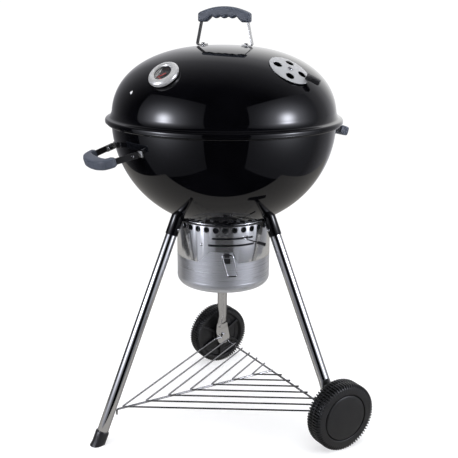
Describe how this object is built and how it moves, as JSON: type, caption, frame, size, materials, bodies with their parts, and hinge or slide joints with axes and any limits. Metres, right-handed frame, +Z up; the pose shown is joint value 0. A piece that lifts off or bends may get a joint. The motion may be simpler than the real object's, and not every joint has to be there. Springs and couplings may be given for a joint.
{
  "type": "kettle charcoal grill",
  "caption": "Round enamelled kettle charcoal grill with lift-off lid, thermometer, dampers, ash sweeper, drop-out ash pot, wire rack and two wheels.",
  "frame": {"origin": "on the kettle's vertical axis, at floor level", "axes": "+Z up; the foot leg stands towards -Y; the wheels turn about lines parallel to X, at +Y"},
  "size_m": [0.666, 0.741, 1.0665],
  "materials": {
    "black_enamel": "glossy porcelain enamel",
    "grip_plastic": "moulded, slightly satin",
    "wheel_plastic": "moulded, matte",
    "chrome": "bright plated",
    "polished_aluminium": "mirror polished",
    "satin_aluminium": "brushed satin",
    "plated_steel": "nickel plated, satin",
    "black_steel": "semi-gloss black",
    "dial_black": "matte printed dial",
    "needle_red": "red lacquer",
    "lens_glass": "clear"
  },
  "bodies": {
    "kettle": {"bowl_shell": "black_enamel", "side_arm_front_left": "black_steel", "side_arm_front_right": "black_steel", "side_arm_rear_left": "black_steel", "side_arm_rear_right": "black_steel", "side_bolt_front_left": "chrome", "side_bolt_front_right": "chrome", "side_bolt_rear_left": "chrome", "side_bolt_rear_right": "chrome", "side_grip_front": "grip_plastic", "side_grip_rear": "grip_plastic", "vent_sleeve": "polished_aluminium", "sleeve_rivet": "chrome", "sleeve_support_ring": "black_steel", "leg_socket_foot": "black_enamel", "leg_socket_left": "black_enamel", "leg_socket_right": "black_enamel", "socket_screw_foot": "chrome", "socket_screw_left": "chrome", "socket_screw_right": "chrome", "leg_foot": "chrome", "leg_left": "chrome", "leg_right": "chrome", "foot_cap": "black_steel", "axle_pin_left": "chrome", "axle_pin_right": "chrome", "bottom_rack": "chrome"},
    "lid": {"lid_shell": "black_enamel", "lid_handle_arm_left": "plated_steel", "lid_handle_arm_right": "plated_steel", "lid_handle_screw_left": "chrome", "lid_handle_screw_right": "chrome", "lid_handle_grip": "grip_plastic", "damper_rivet": "chrome", "thermometer_case": "plated_steel", "thermometer_dial": "dial_black", "thermometer_lens": "lens_glass", "thermometer_probe": "plated_steel", "lid_hook": "plated_steel", "lid_hook_rivet": "chrome"},
    "damper": {"lid_damper_disc": "satin_aluminium", "damper_tab_grip": "black_steel"},
    "needle": {"thermometer_needle": "needle_red"},
    "cooking_grate": {"cooking_grate": "plated_steel"},
    "charcoal_grate": {"charcoal_grate": "plated_steel"},
    "sweeper": {"sweeper_blades": "satin_aluminium", "sweeper_shaft": "plated_steel", "sweeper_lever": "chrome", "sweeper_tip": "black_steel"},
    "pot": {"ash_pot": "satin_aluminium", "latch_bracket": "black_steel", "latch_catch_plate": "black_steel"},
    "latch": {"latch_loop": "chrome"},
    "wheel_right": {"wheel_right": "wheel_plastic", "hubcap_right": "wheel_plastic"},
    "wheel_left": {"wheel_left": "wheel_plastic", "hubcap_left": "wheel_plastic"}
  },
  "joints": [
    {"name": "lid_lift", "type": "slide", "parent": "kettle", "child": "lid", "axis": [0, 0, 1], "range_m": [0, 0.35]},
    {"name": "damper_turn", "type": "hinge", "parent": "lid", "child": "damper", "pos_m": [0.19957, 0.05572, 0.92878], "axis": [0.5284, 0.1475, 0.8361], "range_deg": [0, 45]},
    {"name": "needle_turn", "type": "hinge", "parent": "lid", "child": "needle", "pos_m": [0.09148, -0.20644, 0.91486], "axis": [0.2633, -0.5941, 0.7601], "range_deg": [-240, 0]},
    {"name": "cooking_grate_lift", "type": "slide", "parent": "kettle", "child": "cooking_grate", "axis": [0, 0, 1], "range_m": [0, 0.035]},
    {"name": "charcoal_grate_lift", "type": "slide", "parent": "kettle", "child": "charcoal_grate", "axis": [0, 0, 1], "range_m": [0, 0.05]},
    {"name": "sweeper_turn", "type": "hinge", "parent": "kettle", "child": "sweeper", "pos_m": [0, 0, 0.52], "axis": [0, 0, 1], "range_deg": [-35, 11]},
    {"name": "pot_drop", "type": "slide", "parent": "kettle", "child": "pot", "axis": [0, 0, -1], "range_m": [0, 0.12]},
    {"name": "latch_swing", "type": "hinge", "parent": "pot", "child": "latch", "pos_m": [0.11037, -0.05383, 0.4795], "axis": [-0.4384, -0.8988, 0], "range_deg": [0, 110]},
    {"name": "wheel_right_spin", "type": "hinge", "parent": "kettle", "child": "wheel_right", "pos_m": [0.308, 0.16038, 0.0874], "axis": [1, 0, 0], "continuous": true},
    {"name": "wheel_left_spin", "type": "hinge", "parent": "kettle", "child": "wheel_left", "pos_m": [-0.308, 0.16038, 0.0874], "axis": [1, 0, 0], "continuous": true}
  ]
}
